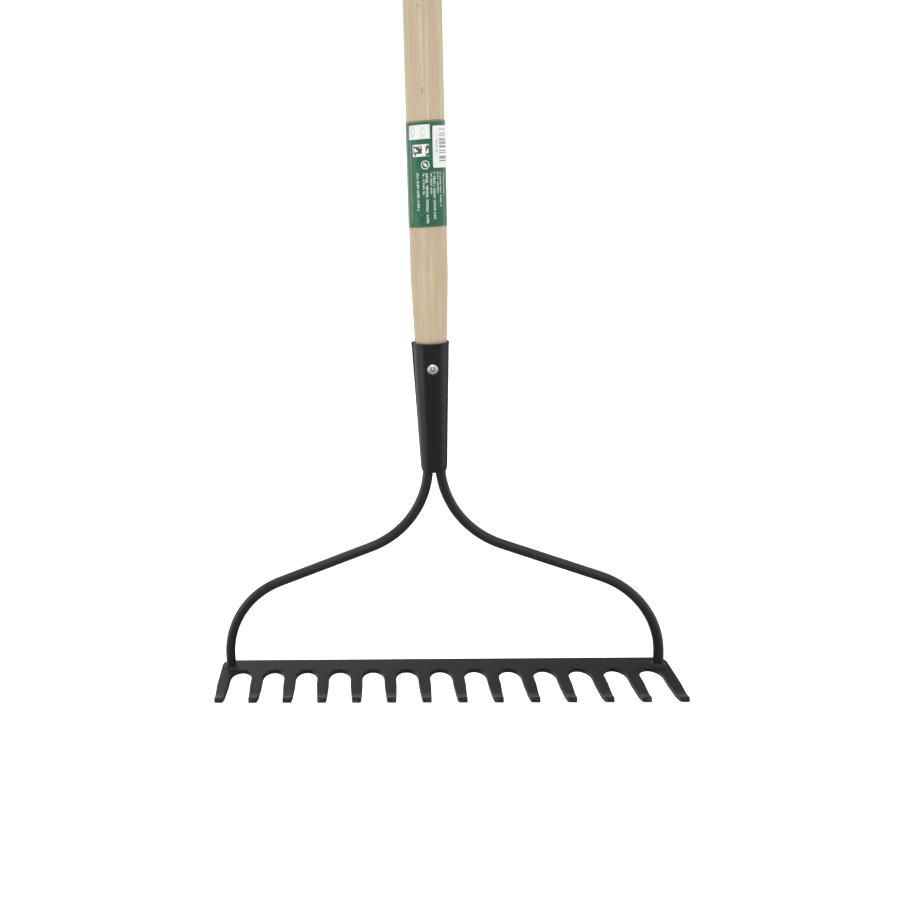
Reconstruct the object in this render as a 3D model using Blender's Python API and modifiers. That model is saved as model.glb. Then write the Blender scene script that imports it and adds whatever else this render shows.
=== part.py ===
"""Bow rake: a stamped tine head hung on two bent rods below a rolled socket and a turned wooden handle.

The origin is on the underside of the tine head, below the handle's axis. +X runs along the head, the
tines point to -Y, and the handle stands up along +Z.
"""

import math

import bmesh
import bpy
from mathutils import Euler, Matrix, Vector

MM = 0.001
GAP = 0.3 * MM

# Tine head: a flat plate, its tines curled up at their ends.
TINE_COUNT = 14
TINE_PITCH = 25.4 * MM
TINE_ROOT_WIDTH = 9.0 * MM
TINE_TIP_WIDTH = 6.6 * MM
TINE_TAPER_START_Y = -28.0 * MM
TINE_TIP_Y = -52.5 * MM
TINE_TIP_CORNER = 1.6 * MM
TINE_GAP_DEPTH = 12.0 * MM
TINE_CURL_Y = -40.0 * MM
TINE_CURL_ANGLE = math.radians(22)
PLATE_THICKNESS = 3.8 * MM
BAR_FRONT_Y = -5.0 * MM
BAR_BACK_Y = 11.0 * MM
BAR_CORNER = 7.5 * MM

# Bow: two rods, each with an upper bend at the socket and a lower bend above its foot.
ROD_DIAMETER = 7.5 * MM
ROD_TOP_X = 4.35 * MM
ROD_TOP_Z = 203.0 * MM
ROD_FOOT_X = 161.8 * MM
ROD_SLOPE = math.radians(20.7)
UPPER_BEND_RADIUS = 68.0 * MM
LOWER_BEND_RADIUS = 66.0 * MM
LOWER_BEND_END_Z = 13.3 * MM

# Socket: a sheet rolled into a cone, with its lapped seam at the left.
SOCKET_BOTTOM_Z = 161.0 * MM
SOCKET_TOP_Z = 256.5 * MM
SOCKET_BOTTOM_RADIUS = 9.5 * MM
SOCKET_TOP_RADIUS = 12.65 * MM
SOCKET_WALL = 1.0 * MM
SEAM_ANGLE = math.radians(176)
SEAM_OPENING = math.radians(6)
SEAM_LIFT = 1.2 * MM
SEAM_LIFT_SPAN = math.radians(50)

# Handle: a straight round shaft with a tapered tenon.
HANDLE_RADIUS = 13.0 * MM
HANDLE_LENGTH = 1372.0 * MM
HANDLE_BOTTOM_Z = 208.0 * MM
HANDLE_BOTTOM_RADIUS = 9.55 * MM
HANDLE_MOUTH_RADIUS = 11.3 * MM
HANDLE_TAPER_TOP_Z = 300.0 * MM
HANDLE_END_ROUND = 8.0 * MM

# Label: a paper sleeve round the handle, with a price sticker on it.
LABEL_BOTTOM_Z = 338.0 * MM
LABEL_TOP_Z = 409.0 * MM
LABEL_THICKNESS = 0.35 * MM
STICKER_BOTTOM_Z = 377.5 * MM
STICKER_TOP_Z = 405.2 * MM
STICKER_THICKNESS = 0.25 * MM
STICKER_START = math.radians(-74)
STICKER_END = math.radians(2)

# Rivet: a blind rivet through the front of the socket into the tenon.
RIVET_Z = 238.3 * MM
RIVET_FLANGE_RADIUS = 3.7 * MM
RIVET_SHANK_RADIUS = 2.4 * MM
RIVET_BORE_RADIUS = 1.5 * MM
RIVET_LENGTH = 12.0 * MM
MANDREL_RADIUS = 1.2 * MM
MANDREL_HEAD_RADIUS = 2.3 * MM

# Welds.
FOOT_WELD_RADIUS = 5.6 * MM
FOOT_WELD_HEIGHT = 2.4 * MM
PLUG_RADIUS = 7.8 * MM
PLUG_BOTTOM_Z = 159.4 * MM
PLUG_TOP_Z = 168.0 * MM

ROUND_STEPS = 40


def clear_scene():
    for existing in list(bpy.data.objects):
        bpy.data.objects.remove(existing)


def make_collection(name):
    collection = bpy.data.collections.new(name)
    bpy.context.scene.collection.children.link(collection)
    return collection


def make_material(name, colour, roughness, metallic=0.0):
    material = bpy.data.materials.new(name)
    material.use_nodes = True
    shader = material.node_tree.nodes["Principled BSDF"]
    shader.inputs["Base Color"].default_value = (*colour, 1.0)
    shader.inputs["Roughness"].default_value = roughness
    shader.inputs["Metallic"].default_value = metallic
    return material


def add_object(name, mesh, collection, material=None):
    item = bpy.data.objects.new(name, mesh)
    collection.objects.link(item)
    if material:
        mesh.materials.append(material)
    return item


def smooth(mesh):
    mesh.shade_smooth()
    mesh.set_sharp_from_angle(angle=math.radians(35))


def outline_mesh(name, profile, closed):
    """Mesh of edges in the XZ plane from (radius, height) points."""
    mesh = bpy.data.meshes.new(name)
    count = len(profile)
    edges = [(i, i + 1) for i in range(count - 1)]
    if closed:
        edges.append((count - 1, 0))
    mesh.from_pydata([(r, 0.0, z) for r, z in profile], edges, [])
    return mesh


def turned(name, profile, collection, material, closed=False, steps=ROUND_STEPS):
    """Turns a profile that runs down its outer side round Z."""
    item = add_object(name, outline_mesh(name, profile, closed), collection, material)
    screw = item.modifiers.new("turn", "SCREW")
    screw.angle = math.tau
    screw.steps = steps
    screw.render_steps = steps
    screw.use_merge_vertices = True
    screw.merge_threshold = 0.00001
    screw.use_smooth_shade = True
    return item


def evaluated_mesh(item, name):
    """Plain mesh of an object with its modifiers, in world space."""
    graph = bpy.context.evaluated_depsgraph_get()
    evaluated = item.evaluated_get(graph)
    mesh = bpy.data.meshes.new_from_object(evaluated, depsgraph=graph)
    mesh.name = name
    mesh.transform(item.matrix_world)
    cleaner = bmesh.new()
    cleaner.from_mesh(mesh)
    bmesh.ops.remove_doubles(cleaner, verts=cleaner.verts, dist=0.000001)
    bmesh.ops.recalc_face_normals(cleaner, faces=cleaner.faces)
    cleaner.to_mesh(mesh)
    cleaner.free()
    return mesh


def cylinder_cutter(name, radius, start, end, collection, steps=24):
    """A cutter whose axis runs from start to end."""
    axis = Vector(end) - Vector(start)
    mesh = bpy.data.meshes.new(name)
    builder = bmesh.new()
    bmesh.ops.create_cone(builder, cap_ends=True, segments=steps, radius1=radius, radius2=radius, depth=axis.length)
    turn = axis.to_track_quat("Z", "Y").to_matrix().to_4x4()
    middle = Matrix.Translation((Vector(start) + Vector(end)) / 2)
    builder.transform(middle @ turn)
    builder.to_mesh(mesh)
    builder.free()
    cutter = add_object(name, mesh, collection)
    cutter.hide_render = True
    cutter.display_type = "WIRE"
    return cutter


def cut(item, cutter):
    boolean = item.modifiers.new("cut_" + cutter.name, "BOOLEAN")
    boolean.operation = "DIFFERENCE"
    boolean.solver = "EXACT"
    boolean.object = cutter


def arc(centre, radius, start, end, steps, stretch=1.0):
    """Points of an arc, both ends included. Its second axis can be stretched."""
    angles = [start + (end - start) * i / steps for i in range(steps + 1)]
    return [(centre[0] + radius * math.cos(a), centre[1] + radius * stretch * math.sin(a)) for a in angles]


def socket_radius(z):
    share = (z - SOCKET_BOTTOM_Z) / (SOCKET_TOP_Z - SOCKET_BOTTOM_Z)
    return SOCKET_BOTTOM_RADIUS + (SOCKET_TOP_RADIUS - SOCKET_BOTTOM_RADIUS) * share


def rivet_frame():
    """Where the rivet's flange sits, and its turn, square to the socket's cone."""
    slope = math.atan2(SOCKET_TOP_RADIUS - SOCKET_BOTTOM_RADIUS, SOCKET_TOP_Z - SOCKET_BOTTOM_Z)
    location = Vector((0.0, -socket_radius(RIVET_Z) - GAP, RIVET_Z))
    return location, Euler((math.pi / 2 + slope, 0.0, 0.0))


def rivet_hole(name, depth, cutters):
    """A cutter along the rivet's axis, from outside the socket to a depth below its surface."""
    location, rotation = rivet_frame()
    outward = rotation.to_matrix() @ Vector((0.0, 0.0, 1.0))
    start = location - outward * depth
    return cylinder_cutter(name, RIVET_SHANK_RADIUS + GAP, start, location + outward * 4 * MM, cutters)


# Tine head ---------------------------------------------------------------------------------------


def tine_tip(centre_x):
    """The end of one tine, from its left side round to its right side."""
    half = TINE_TIP_WIDTH / 2
    inner = half - TINE_TIP_CORNER
    base = TINE_TIP_Y + TINE_TIP_CORNER
    left = arc((centre_x - inner, base), TINE_TIP_CORNER, math.pi, 1.5 * math.pi, 4)
    right = arc((centre_x + inner, base), TINE_TIP_CORNER, 1.5 * math.pi, math.tau, 4)
    return left + right


def head_outline():
    """Counter-clockwise outline of the unbent plate, seen from above."""
    half_width = TINE_ROOT_WIDTH / 2
    first_x = -TINE_PITCH * (TINE_COUNT - 1) / 2
    left_x = first_x - half_width
    gap_radius = (TINE_PITCH - TINE_ROOT_WIDTH) / 2
    gap_stretch = TINE_GAP_DEPTH / gap_radius
    root_y = BAR_FRONT_Y - TINE_GAP_DEPTH
    back = BAR_BACK_Y - BAR_CORNER
    points = arc((left_x + BAR_CORNER, back), BAR_CORNER, 0.5 * math.pi, math.pi, 6)
    for index in range(TINE_COUNT):
        x = first_x + index * TINE_PITCH
        points.append((x - half_width, TINE_TAPER_START_Y))
        points.extend(tine_tip(x))
        points.append((x + half_width, TINE_TAPER_START_Y))
        if index < TINE_COUNT - 1:
            points.extend(arc((x + TINE_PITCH / 2, root_y), gap_radius, math.pi, 0.0, 12, gap_stretch))
    points.extend(arc((-left_x - BAR_CORNER, back), BAR_CORNER, 0.0, 0.5 * math.pi, 6))
    return points


def curl(point):
    """Rolls the plate's front up round an axis above it."""
    reach = TINE_CURL_Y - point.y
    if reach <= 0.0:
        return point
    radius = (TINE_CURL_Y - TINE_TIP_Y) / TINE_CURL_ANGLE
    angle = reach / radius
    height = point.z - PLATE_THICKNESS / 2
    y = TINE_CURL_Y - (radius - height) * math.sin(angle)
    z = PLATE_THICKNESS / 2 + radius - (radius - height) * math.cos(angle)
    return Vector((point.x, y, z))


def build_tine_head(collection, material):
    curve = bpy.data.curves.new("head_outline", "CURVE")
    curve.dimensions = "2D"
    curve.fill_mode = "BOTH"
    curve.extrude = PLATE_THICKNESS / 2
    points = head_outline()
    spline = curve.splines.new("POLY")
    spline.points.add(len(points) - 1)
    for slot, (x, y) in zip(spline.points, points):
        slot.co = (x, y, 0.0, 1.0)
    spline.use_cyclic_u = True
    blank = add_object("head_outline", curve, collection)
    blank.location.z = PLATE_THICKNESS / 2
    bpy.context.view_layer.update()
    mesh = evaluated_mesh(blank, "tine_head")
    bpy.data.objects.remove(blank)

    sheet = bmesh.new()
    sheet.from_mesh(mesh)
    bands = 5
    for band in range(bands):
        y = TINE_CURL_Y + (TINE_TIP_Y - TINE_CURL_Y) * band / bands
        every = sheet.verts[:] + sheet.edges[:] + sheet.faces[:]
        bmesh.ops.bisect_plane(sheet, geom=every, plane_co=(0.0, y, 0.0), plane_no=(0.0, 1.0, 0.0))
    for vertex in sheet.verts:
        vertex.co = curl(vertex.co)
    bmesh.ops.triangulate(sheet, faces=sheet.faces[:])
    sheet.to_mesh(mesh)
    sheet.free()
    return add_object("tine_head", mesh, collection, material)


# Bow ---------------------------------------------------------------------------------------------


def rod_path(side):
    """Centre line of one rod, from its end inside the socket down to its foot."""
    lower_centre = (ROD_FOOT_X - LOWER_BEND_RADIUS, LOWER_BEND_END_Z)
    normal = (math.sin(ROD_SLOPE), math.cos(ROD_SLOPE))
    lower_x = lower_centre[0] + LOWER_BEND_RADIUS * normal[0]
    lower_z = lower_centre[1] + LOWER_BEND_RADIUS * normal[1]
    upper_x = ROD_TOP_X + UPPER_BEND_RADIUS * (1 - normal[0])
    upper_z = lower_z + (lower_x - upper_x) * math.tan(ROD_SLOPE)
    upper_centre = (ROD_TOP_X + UPPER_BEND_RADIUS, upper_z + UPPER_BEND_RADIUS * normal[1])
    upper_end = 1.5 * math.pi - ROD_SLOPE
    path = [(ROD_TOP_X, ROD_TOP_Z)]
    path.extend(arc(upper_centre, UPPER_BEND_RADIUS, math.pi, upper_end, 14))
    path.extend(arc(lower_centre, LOWER_BEND_RADIUS, 0.5 * math.pi - ROD_SLOPE, 0.0, 14))
    path.append((ROD_FOOT_X, PLATE_THICKNESS + GAP))
    return [(side * x, 0.0, z) for x, z in path]


def build_rod(name, side, collection, material):
    curve = bpy.data.curves.new(name, "CURVE")
    curve.dimensions = "3D"
    curve.bevel_depth = ROD_DIAMETER / 2
    curve.bevel_resolution = 4
    curve.use_fill_caps = True
    path = rod_path(side)
    spline = curve.splines.new("POLY")
    spline.points.add(len(path) - 1)
    for slot, (x, y, z) in zip(spline.points, path):
        slot.co = (x, y, z, 1.0)
    rod = add_object(name, curve, collection)
    curve.materials.append(material)
    return rod


def build_foot_weld(name, side, collection, material):
    """A low fillet ring round a rod's foot."""
    inner = ROD_DIAMETER / 2 + GAP
    base = 0.0
    bulge = math.sqrt(0.5) * 1.15
    reach = FOOT_WELD_RADIUS - inner
    profile = [
        (inner, FOOT_WELD_HEIGHT),
        (inner + reach * 0.35, FOOT_WELD_HEIGHT * 0.92),
        (inner + reach * bulge, FOOT_WELD_HEIGHT * 0.6),
        (FOOT_WELD_RADIUS, base + FOOT_WELD_HEIGHT * 0.15),
        (FOOT_WELD_RADIUS, base),
        (inner, base),
    ]
    weld = turned(name, profile, collection, material, closed=True, steps=24)
    weld.location = (side * ROD_FOOT_X, 0.0, PLATE_THICKNESS + GAP)
    return weld


# Socket ------------------------------------------------------------------------------------------


def build_socket(collection, cutters, material):
    """A rolled sheet whose free edge stands off a little towards the mouth."""
    levels = 7
    start = SEAM_ANGLE + SEAM_OPENING / 2
    sweep = math.tau - SEAM_OPENING
    mesh = bpy.data.meshes.new("socket")
    sheet = bmesh.new()
    rows = []
    for level in range(levels):
        share = level / (levels - 1)
        z = SOCKET_BOTTOM_Z + (SOCKET_TOP_Z - SOCKET_BOTTOM_Z) * share
        row = []
        for step in range(ROUND_STEPS + 1):
            angle = start + sweep * step / ROUND_STEPS
            near = max(0.0, 1.0 - sweep * (1 - step / ROUND_STEPS) / SEAM_LIFT_SPAN)
            radius = socket_radius(z) + SEAM_LIFT * share * near * near
            row.append(sheet.verts.new((radius * math.cos(angle), radius * math.sin(angle), z)))
        rows.append(row)
    for lower, upper in zip(rows, rows[1:]):
        for step in range(ROUND_STEPS):
            sheet.faces.new((lower[step], lower[step + 1], upper[step + 1], upper[step]))
    sheet.to_mesh(mesh)
    sheet.free()
    socket = add_object("socket", mesh, collection, material)
    wall = socket.modifiers.new("wall", "SOLIDIFY")
    wall.thickness = SOCKET_WALL
    wall.offset = -1.0
    wall.use_even_offset = True
    cut(socket, rivet_hole("rivet_hole_in_socket", 5 * MM, cutters))
    smooth(mesh)
    return socket


def build_socket_weld(collection, cutters, material):
    """The weld that closes the socket's bottom round both rods."""
    crown = 0.8 * MM
    profile = [
        (0.0, PLUG_TOP_Z),
        (PLUG_RADIUS, PLUG_TOP_Z),
        (PLUG_RADIUS, PLUG_BOTTOM_Z + 2 * crown),
        (PLUG_RADIUS * 0.86, PLUG_BOTTOM_Z + crown * 0.7),
        (PLUG_RADIUS * 0.5, PLUG_BOTTOM_Z),
        (0.0, PLUG_BOTTOM_Z),
    ]
    weld = turned("socket_weld", profile, collection, material, steps=32)
    for name, side in (("left_rod_clearance", -1), ("right_rod_clearance", 1)):
        clearance = cylinder_cutter(
            name,
            ROD_DIAMETER / 2 + 1.5 * GAP,
            (side * ROD_TOP_X, 0.0, PLUG_BOTTOM_Z - 5 * MM),
            (side * ROD_TOP_X, 0.0, PLUG_TOP_Z + 5 * MM),
            cutters,
        )
        cut(weld, clearance)
    return weld


# Handle and label --------------------------------------------------------------------------------


def build_handle(collection, cutters, material):
    top = HANDLE_BOTTOM_Z + HANDLE_LENGTH
    crown = arc((HANDLE_RADIUS - HANDLE_END_ROUND, top - HANDLE_END_ROUND), HANDLE_END_ROUND, math.pi / 2, 0.0, 6)
    profile = [(0.0, top)]
    profile.extend(crown)
    profile.extend(
        [
            (HANDLE_RADIUS, LABEL_TOP_Z + 50 * MM),
            (HANDLE_RADIUS, HANDLE_TAPER_TOP_Z),
            (HANDLE_MOUTH_RADIUS, SOCKET_TOP_Z),
            (HANDLE_BOTTOM_RADIUS, HANDLE_BOTTOM_Z),
            (0.0, HANDLE_BOTTOM_Z),
        ]
    )
    handle = turned("handle", profile, collection, material)
    cut(handle, rivet_hole("rivet_hole_in_handle", RIVET_LENGTH + 4 * MM, cutters))
    return handle


def build_label_sleeve(collection, material):
    inner = HANDLE_RADIUS + GAP
    outer = inner + LABEL_THICKNESS
    profile = [
        (outer, LABEL_TOP_Z),
        (outer, LABEL_BOTTOM_Z),
        (inner, LABEL_BOTTOM_Z),
        (inner, LABEL_TOP_Z),
    ]
    return turned("label_sleeve", profile, collection, material, closed=True)


def build_sticker(collection, material):
    """A curved patch that backs on the label's right-hand front."""
    radius = HANDLE_RADIUS + 2 * GAP + LABEL_THICKNESS
    steps = 12
    mesh = bpy.data.meshes.new("barcode_sticker")
    sheet = bmesh.new()
    rows = []
    for z in (STICKER_BOTTOM_Z, STICKER_TOP_Z):
        angles = [STICKER_START + (STICKER_END - STICKER_START) * i / steps for i in range(steps + 1)]
        rows.append([sheet.verts.new((radius * math.cos(a), radius * math.sin(a), z)) for a in angles])
    for step in range(steps):
        sheet.faces.new((rows[0][step], rows[0][step + 1], rows[1][step + 1], rows[1][step]))
    sheet.to_mesh(mesh)
    sheet.free()
    sticker = add_object("barcode_sticker", mesh, collection, material)
    wall = sticker.modifiers.new("paper", "SOLIDIFY")
    wall.thickness = STICKER_THICKNESS
    wall.offset = 1.0
    smooth(mesh)
    return sticker


# Rivet -------------------------------------------------------------------------------------------


def build_rivet(collection, body_material, mandrel_material):
    location, rotation = rivet_frame()
    body_profile = [
        (RIVET_BORE_RADIUS, 1.45 * MM),
        (2.4 * MM, 1.5 * MM),
        (3.1 * MM, 1.2 * MM),
        (3.5 * MM, 0.75 * MM),
        (RIVET_FLANGE_RADIUS, 0.25 * MM),
        (RIVET_FLANGE_RADIUS, 0.0),
        (RIVET_SHANK_RADIUS, 0.0),
        (RIVET_SHANK_RADIUS, -RIVET_LENGTH),
        (RIVET_BORE_RADIUS, -RIVET_LENGTH),
    ]
    body = turned("rivet_body", body_profile, collection, body_material, closed=True, steps=24)
    head_top = -RIVET_LENGTH - GAP
    mandrel_profile = [
        (0.0, 0.7 * MM),
        (MANDREL_RADIUS, 0.5 * MM),
        (MANDREL_RADIUS, head_top),
        (MANDREL_HEAD_RADIUS, head_top),
        (MANDREL_HEAD_RADIUS * 0.8, head_top - 1.6 * MM),
        (0.0, head_top - 2.2 * MM),
    ]
    mandrel = turned("rivet_mandrel", mandrel_profile, collection, mandrel_material, steps=16)
    for item in (body, mandrel):
        item.location = location
        item.rotation_euler = rotation


def main():
    clear_scene()
    rake = make_collection("bow_rake")
    cutters = make_collection("cutters")

    coated_steel = (0.025, 0.025, 0.027)
    build_tine_head(rake, make_material("head_coating", coated_steel, 0.45))
    rod_coating = make_material("rod_coating", coated_steel, 0.42)
    build_rod("left_rod", -1, rake, rod_coating)
    build_rod("right_rod", 1, rake, rod_coating.copy())
    weld_coating = make_material("weld_coating", coated_steel, 0.5)
    build_foot_weld("left_foot_weld", -1, rake, weld_coating)
    build_foot_weld("right_foot_weld", 1, rake, weld_coating.copy())
    build_socket(rake, cutters, make_material("socket_coating", coated_steel, 0.38))
    build_socket_weld(rake, cutters, weld_coating.copy())
    build_handle(rake, cutters, make_material("ash_wood", (0.6, 0.47, 0.31), 0.6))
    build_label_sleeve(rake, make_material("label_paper", (0.07, 0.22, 0.14), 0.4))
    build_sticker(rake, make_material("sticker_paper", (0.85, 0.85, 0.83), 0.5))
    zinc = make_material("rivet_zinc", (0.7, 0.7, 0.7), 0.35, 1.0)
    build_rivet(rake, zinc, make_material("mandrel_steel", (0.45, 0.45, 0.46), 0.4, 1.0))


main()
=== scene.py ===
"""Bow rake, finished: coated steel head and bow, rolled and riveted socket, ash handle and its paper label.

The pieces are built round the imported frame. +X runs along the tine head, the tines point to -Y, and the
handle stands up along +Z. All sizes are in metres.
"""

from __future__ import annotations

import logging
import math
from dataclasses import dataclass, field
from enum import Enum
from typing import Any, Callable, Optional, Sequence

import bmesh
import bpy
from mathutils import Matrix, Vector, noise

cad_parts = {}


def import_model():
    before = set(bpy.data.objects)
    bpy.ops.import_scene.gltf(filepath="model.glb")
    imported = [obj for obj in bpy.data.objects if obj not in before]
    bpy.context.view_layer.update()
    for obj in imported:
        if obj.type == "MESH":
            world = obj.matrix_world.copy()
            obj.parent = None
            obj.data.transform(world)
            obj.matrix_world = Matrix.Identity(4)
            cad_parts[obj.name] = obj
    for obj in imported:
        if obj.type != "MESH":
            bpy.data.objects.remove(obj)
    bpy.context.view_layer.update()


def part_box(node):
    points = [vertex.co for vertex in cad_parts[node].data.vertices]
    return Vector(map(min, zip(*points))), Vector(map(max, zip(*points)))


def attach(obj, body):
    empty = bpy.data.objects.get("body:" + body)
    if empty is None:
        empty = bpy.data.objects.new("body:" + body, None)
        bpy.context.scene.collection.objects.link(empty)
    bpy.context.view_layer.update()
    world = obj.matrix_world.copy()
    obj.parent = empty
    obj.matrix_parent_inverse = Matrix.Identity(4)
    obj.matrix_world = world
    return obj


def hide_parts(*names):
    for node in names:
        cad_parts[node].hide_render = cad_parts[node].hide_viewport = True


MM = 0.001
BODY = "root"
Point = tuple[float, float]
Colour = tuple[float, float, float]
Warp = Callable[[float, float, float], Point]
WELD_DISTANCE = 1e-6
log = logging.getLogger("bow_rake")


class Slot(Enum):
    """The record's material slots."""

    HEAD = "head_coating"
    ROD = "rod_coating"
    WELD = "weld_coating"
    SOCKET = "socket_coating"
    WOOD = "ash_wood"
    LABEL = "label_paper"
    STICKER = "sticker_paper"
    RIVET = "rivet_zinc"
    MANDREL = "mandrel_steel"


# Node trees --------------------------------------------------------------------------------------


class Value:
    """A socket of a node tree that takes part in Python arithmetic."""

    def __init__(self, bench: "Bench", socket: bpy.types.NodeSocket) -> None:
        """Wraps a socket.

        Args:
            bench: The tree that the socket belongs to.
            socket: The output socket.
        """
        self.bench = bench
        self.socket = socket

    def __add__(self, other: "Number") -> "Value":
        """The sum."""
        return self.bench.math("ADD", self, other)

    __radd__ = __add__

    def __mul__(self, other: "Number") -> "Value":
        """The product."""
        return self.bench.math("MULTIPLY", self, other)

    __rmul__ = __mul__

    def __sub__(self, other: "Number") -> "Value":
        """The difference."""
        return self.bench.math("SUBTRACT", self, other)

    def __rsub__(self, other: "Number") -> "Value":
        """The reflected difference."""
        return self.bench.math("SUBTRACT", other, self)

    def __truediv__(self, other: "Number") -> "Value":
        """The quotient."""
        return self.bench.math("DIVIDE", self, other)

    def __gt__(self, other: "Number") -> "Value":
        """One where the value is above the other, else zero."""
        return self.bench.math("GREATER_THAN", self, other)

    def __lt__(self, other: "Number") -> "Value":
        """One where the value is below the other, else zero."""
        return self.bench.math("LESS_THAN", self, other)

    def __abs__(self) -> "Value":
        """The size of the value."""
        return self.bench.math("ABSOLUTE", self)

    def floor(self) -> "Value":
        """The whole number below the value."""
        return self.bench.math("FLOOR", self)

    def at_most(self, other: "Number") -> "Value":
        """The smaller of the two."""
        return self.bench.math("MINIMUM", self, other)

    def at_least(self, other: "Number") -> "Value":
        """The larger of the two."""
        return self.bench.math("MAXIMUM", self, other)

    def between(self, low: float, high: float) -> "Value":
        """One from low to high, else zero."""
        return (self > low) * (self < high)

    def step(self, low: float, high: float) -> "Value":
        """Rises smoothly from zero at low to one at high, or falls where low is above high."""
        values = {"Value": self, "From Min": low, "From Max": high, "To Min": 0.0, "To Max": 1.0}
        return self.bench.make("ShaderNodeMapRange", {"interpolation_type": "SMOOTHSTEP"}, values)


Number = Value | float


class Bench:
    """Adds nodes to one shader or geometry tree."""

    def __init__(self, tree: bpy.types.NodeTree) -> None:
        """Starts on a tree, which loses the nodes that it had.

        Args:
            tree: The node tree to fill.
        """
        tree.nodes.clear()
        self.tree = tree

    def node(self, kind: str, settings: dict[str, Any], sockets: dict[Any, Any]) -> bpy.types.Node:
        """Adds a node of any type.

        Args:
            kind: The node's type.
            settings: Its properties, set before its sockets. "stops" holds a ramp's stops.
            sockets: Values, sockets or constants by input name or number.

        Returns:
            The node.
        """
        node = self.tree.nodes.new(kind)
        for name, setting in settings.items():
            if name == "stops":
                self._set_stops(node, setting)
            else:
                setattr(node, name, setting)
        for key, given in sockets.items():
            given = given.socket if isinstance(given, Value) else given
            if isinstance(given, bpy.types.NodeSocket):
                self.tree.links.new(given, node.inputs[key])
            else:
                node.inputs[key].default_value = given
        return node

    def make(self, kind: str, settings: dict[str, Any], sockets: dict[Any, Any], output: Any = 0) -> Value:
        """Adds a node and returns one of its outputs.

        Args:
            kind: The node's type.
            settings: Its properties.
            sockets: What its inputs get.
            output: The output's name or number.

        Returns:
            The output as a value.
        """
        return Value(self, self.node(kind, settings, sockets).outputs[output])

    def math(self, operation: str, first: Number, second: Optional[Number] = None) -> Value:
        """Adds a Math node for one or two numbers."""
        given = {0: first} if second is None else {0: first, 1: second}
        return self.make("ShaderNodeMath", {"operation": operation}, given)

    @staticmethod
    def _set_stops(node: bpy.types.Node, stops: Sequence[tuple[float, Colour]]) -> None:
        """Gives a Color Ramp its stops.

        Args:
            node: The Color Ramp.
            stops: Positions and colours, in rising order.
        """
        elements = node.color_ramp.elements
        while len(elements) < len(stops):
            elements.new(1.0)
        for element, (position, colour) in zip(elements, stops):
            element.position = position
            element.color = (*colour, 1.0)


class ShaderBench(Bench):
    """A material's tree, with the patterns that the finishes share."""

    cloud_roughness = 0.55

    def __init__(self, name: str) -> None:
        """Makes an empty material.

        Args:
            name: The material's name.
        """
        self.material = bpy.data.materials.new(name)
        self.material.use_nodes = True
        super().__init__(self.material.node_tree)
        coordinates = self.node("ShaderNodeTexCoord", {}, {})
        self.place = Value(self, coordinates.outputs["Object"])
        axes = self.node("ShaderNodeSeparateXYZ", {}, {"Vector": self.place})
        self.x, self.y, self.z = (Value(self, axes.outputs[name]) for name in "XYZ")

    def stretched(self, x: float, y: float, z: float) -> Value:
        """Object coordinates with each axis scaled, so that a pattern draws out along a small one."""
        sockets = {"Vector": self.place, "Scale": (x, y, z)}
        return self.make("ShaderNodeMapping", {"vector_type": "POINT"}, sockets)

    def cloud(self, scale: float, detail: float, seed: float, vector: Optional[Value] = None) -> Value:
        """Soft noise around one half.

        Args:
            scale: Cells to the metre, or to the unit of the vector.
            detail: Octaves of finer noise.
            seed: Moves the pattern.
            vector: The coordinates, or Object coordinates if None.

        Returns:
            The noise value.
        """
        sockets = {"Vector": vector or self.place, "W": seed, "Scale": scale, "Detail": detail}
        sockets["Roughness"] = self.cloud_roughness
        return self.make("ShaderNodeTexNoise", {"noise_dimensions": "4D"}, sockets, "Fac")

    def chance(self, column: Number, row: Number) -> Value:
        """A random number from zero to one for each whole column and row."""
        cell = self.make("ShaderNodeCombineXYZ", {}, {"X": column, "Y": row, "Z": 0.5})
        return self.make("ShaderNodeTexWhiteNoise", {"noise_dimensions": "3D"}, {"Vector": cell}, "Value")

    def blend(self, factor: Number, first: Value | Colour, second: Value | Colour) -> Value:
        """Mixes two colours.

        Args:
            factor: How much of the second shows.
            first: The colour below.
            second: The colour above.

        Returns:
            The mixed colour.
        """
        shades = [(*c, 1.0) if isinstance(c, tuple) else c for c in (first, second)]
        settings = {"data_type": "RGBA", "blend_type": "MIX", "clamp_factor": True}
        return self.make("ShaderNodeMix", settings, {0: factor, 6: shades[0], 7: shades[1]}, 2)

    def ramp(self, factor: Value, stops: Sequence[tuple[float, Colour]]) -> Value:
        """A colour that follows a value through stops."""
        return self.make("ShaderNodeValToRGB", {"stops": stops}, {"Fac": factor}, "Color")

    def relief(self, height: Value, depth: float, strength: float, below: Optional[Value] = None) -> Value:
        """A bumped normal.

        Args:
            height: The relief, about zero to one.
            depth: What one stands for, in metres.
            strength: How much of it shows.
            below: A normal that this one adds to.

        Returns:
            The normal.
        """
        sockets: dict[Any, Any] = {"Height": height, "Distance": depth, "Strength": strength}
        if below is not None:
            sockets["Normal"] = below
        return self.make("ShaderNodeBump", {}, sockets, "Normal")

    def surface(self, **sockets: Any) -> bpy.types.Material:
        """Ends the tree in a Principled BSDF.

        Args:
            **sockets: The shader's inputs, with _ for each space in a name.

        Returns:
            The finished material.
        """
        named = {"Coat Weight": 0.0}
        named.update((name.replace("_", " "), given) for name, given in sockets.items())
        shader = self.make("ShaderNodeBsdfPrincipled", {}, named, "BSDF")
        self.node("ShaderNodeOutputMaterial", {}, {"Surface": shader})
        return self.material


# Finishes ----------------------------------------------------------------------------------------


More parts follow.
